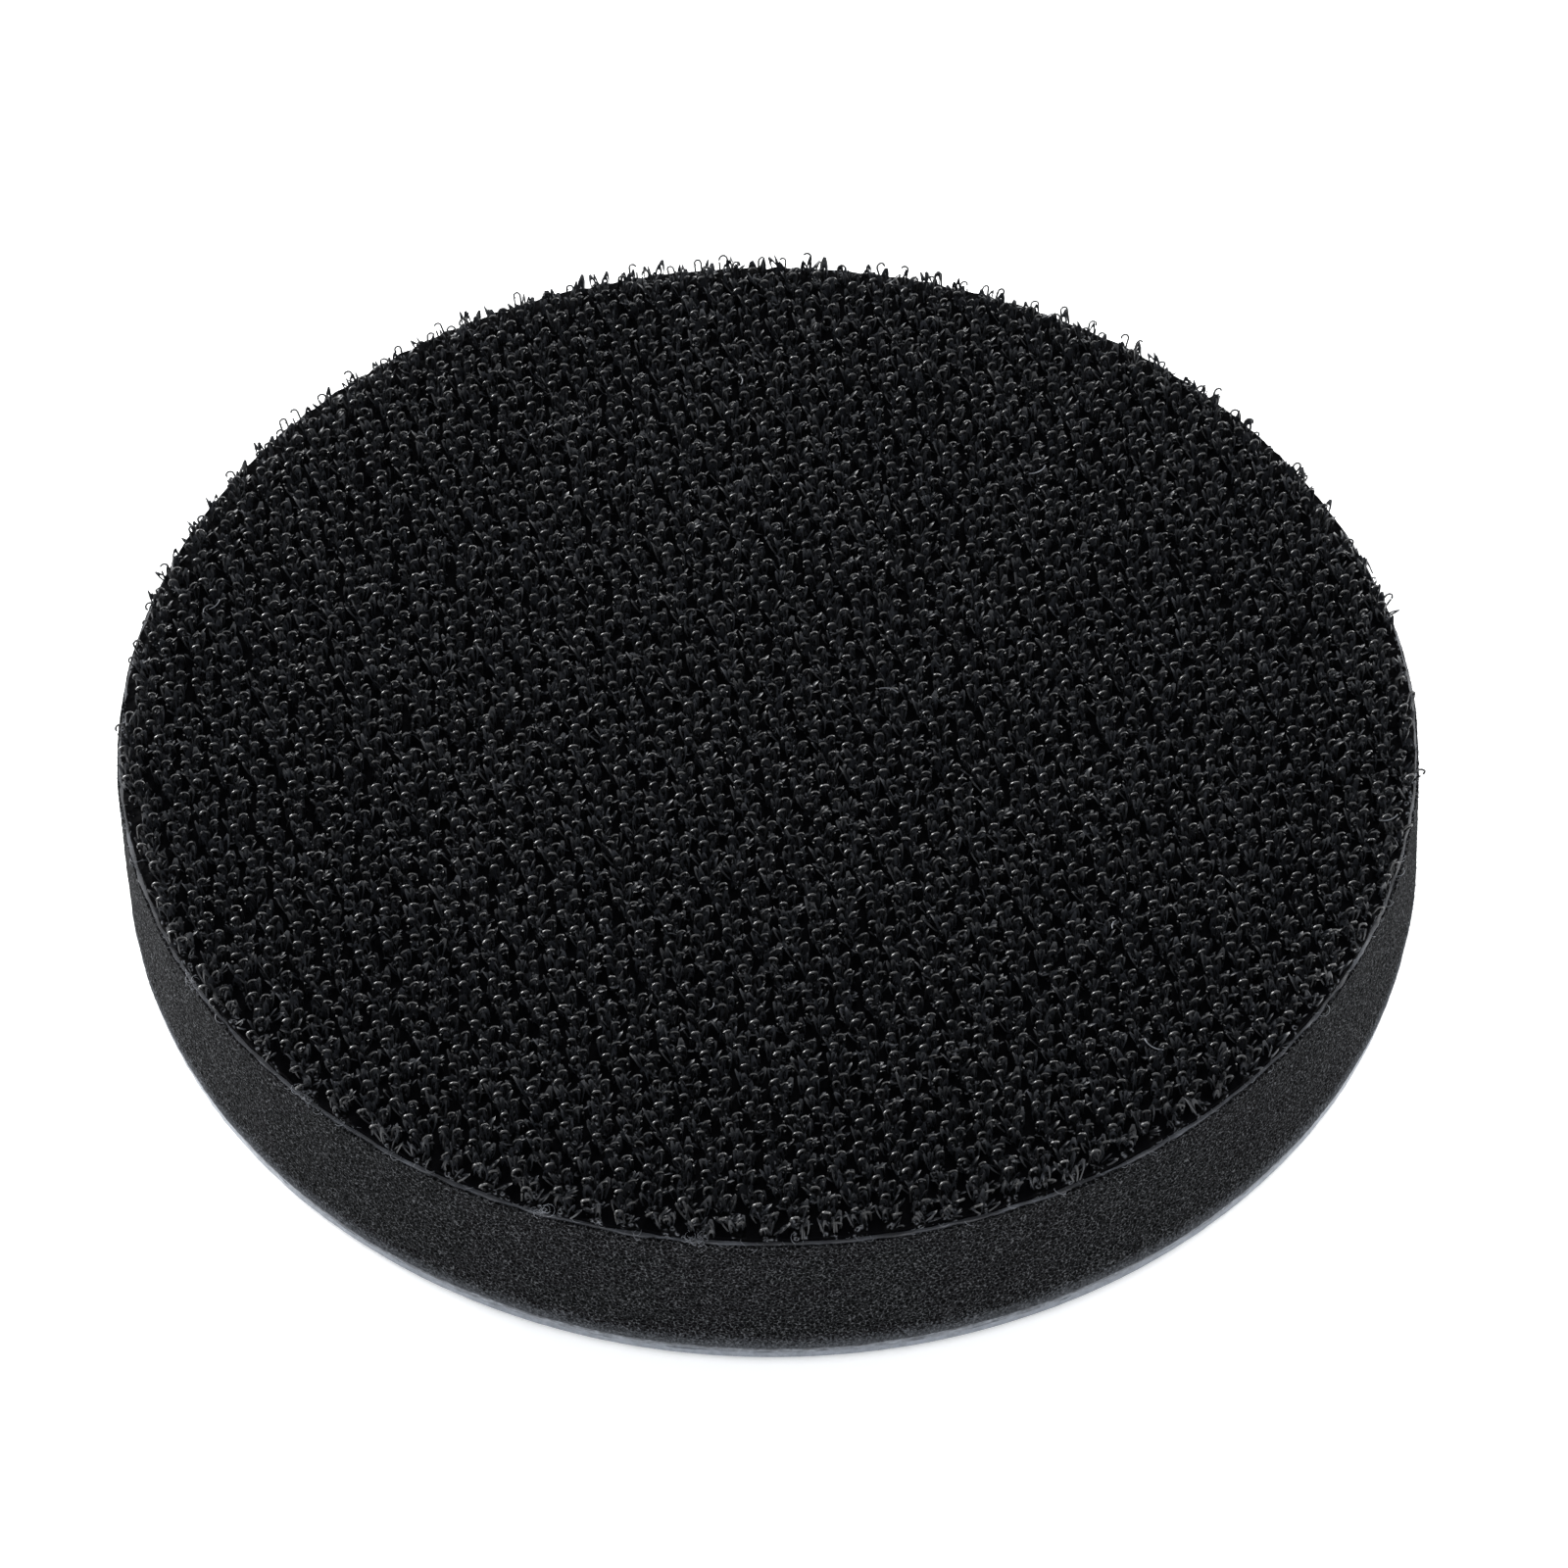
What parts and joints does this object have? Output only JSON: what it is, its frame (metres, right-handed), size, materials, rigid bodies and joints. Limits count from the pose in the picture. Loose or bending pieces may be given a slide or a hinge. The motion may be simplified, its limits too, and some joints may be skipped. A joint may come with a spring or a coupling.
{
  "type": "polishing pad",
  "caption": "Round soft foam interface pad with a woven hook face on one side and a brushed loop face on the other.",
  "frame": {"origin": "centre of the loop face, which rests on the table", "axes": "+Z from the loop face to the hook face; +Y away from the viewer; +X to the right"},
  "size_m": [0.075, 0.075, 0.0119],
  "materials": {
    "loop_pile_polyester": "matte",
    "loop_cloth_polyester": "matte",
    "hot_melt_film": "satin",
    "pu_foam": "matte",
    "hook_cloth_nylon": "matte",
    "hook_nylon": "satin"
  },
  "bodies": {
    "loop_side": {"loop_pile": "loop_pile_polyester", "loop_cloth": "loop_cloth_polyester", "bottom_adhesive_film": "hot_melt_film", "foam_disc": "pu_foam"},
    "hook_side": {"top_adhesive_film": "hot_melt_film", "hook_cloth": "hook_cloth_nylon", "hook_rows_left": "hook_nylon", "hook_rows_right": "hook_nylon"}
  },
  "joints": [
    {"name": "foam_press", "type": "slide", "parent": "loop_side", "child": "hook_side", "axis": [0, 0, 1], "range_m": [-0.004, 0], "stiffness_N_per_m": 4000, "deforming": ["foam_disc"]}
  ]
}
